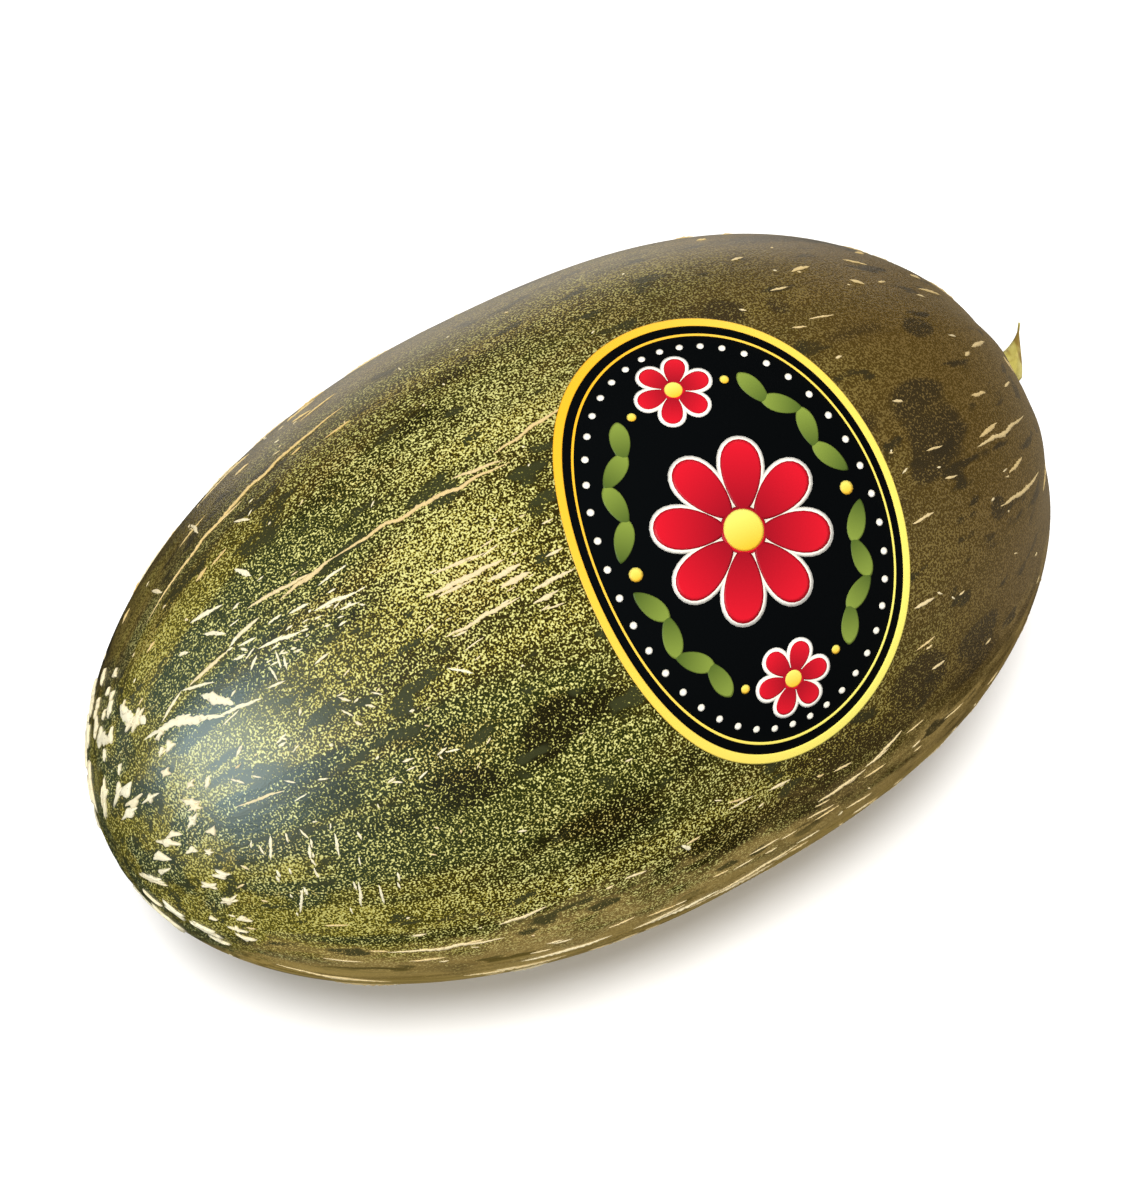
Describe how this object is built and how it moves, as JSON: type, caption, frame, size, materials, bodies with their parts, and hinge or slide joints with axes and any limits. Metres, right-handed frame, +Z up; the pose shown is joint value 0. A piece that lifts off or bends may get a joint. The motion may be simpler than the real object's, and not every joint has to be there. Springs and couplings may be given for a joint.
{
  "type": "piel de sapo melon",
  "caption": "Whole long oval melon with a thick furrowed rind, raised cork lines, a broken stem stub and an oval paper label on its side, lying on a small flat spot.",
  "frame": {"origin": "centre of the whole melon's bounding box in plan, on the surface that it lies on", "axes": "+X along the melon's length from the blossom end to the stem end, +Z up, and the label on the -Y side and the top"},
  "size_m": [0.2796, 0.1666, 0.1661],
  "materials": {
    "rind": "satin",
    "stem": "matte",
    "label_paper": "gloss"
  },
  "bodies": {
    "root": {"melon": "rind", "stem": "stem", "label": "label_paper"}
  },
  "joints": []
}
